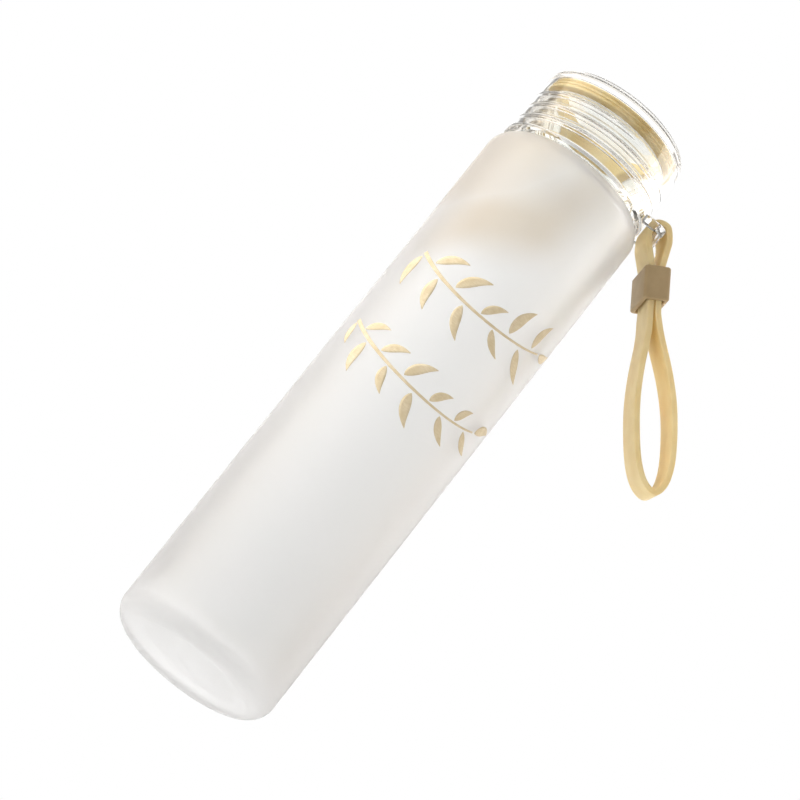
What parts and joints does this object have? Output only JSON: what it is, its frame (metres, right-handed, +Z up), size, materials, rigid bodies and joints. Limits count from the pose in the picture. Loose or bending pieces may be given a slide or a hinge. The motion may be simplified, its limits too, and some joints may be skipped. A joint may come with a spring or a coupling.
{
  "type": "glass water bottle",
  "caption": "Tall straight frosted glass bottle with a clear screw cap, a sealing ring, and a flat silicone wrist strap with a slider block on the cap's eyelet.",
  "frame": {"origin": "centre of the flat base that the bottle stands on", "axes": "+Z up along the bottle's axis, +X towards the eyelet and strap on the cap, -Y is the front with the printed motif"},
  "size_m": [0.1204, 0.062, 0.25],
  "materials": {
    "frosted_glass": "frosted outside, clear at the shoulder top and neck",
    "clear_plastic": "polished clear",
    "seal_silicone": "satin, translucent",
    "strap_silicone": "satin",
    "slider_silicone": "satin"
  },
  "bodies": {
    "bottle": {"glass_bottle": "frosted_glass"},
    "cap_lifter": {"cap_seal": "seal_silicone"},
    "cap": {"screw_cap": "clear_plastic"},
    "strap": {"wrist_strap": "strap_silicone"},
    "slider": {"strap_slider": "slider_silicone"}
  },
  "joints": [
    {"name": "cap_lift", "type": "slide", "parent": "bottle", "child": "cap_lifter", "axis": [0, 0, 1], "range_m": [0, 0.0212]},
    {"name": "cap_turn", "type": "hinge", "parent": "cap_lifter", "child": "cap", "pos_m": [0, 0, 0.2353], "axis": [0, 0, 1], "range_deg": [0, 1440]},
    {"name": "strap_swing", "type": "hinge", "parent": "cap", "child": "strap", "pos_m": [0.0343, 0, 0.2233], "axis": [0, -1, 0], "range_deg": [-24, 147]},
    {"name": "slider_slide", "type": "slide", "parent": "strap", "child": "slider", "axis": [0.5344, 0, -0.8453], "range_m": [0, 0.004]}
  ],
  "couplings": [
    {"joint": "cap_lift", "follows": "cap_turn", "m_per_rad": 0.00084352}
  ]
}
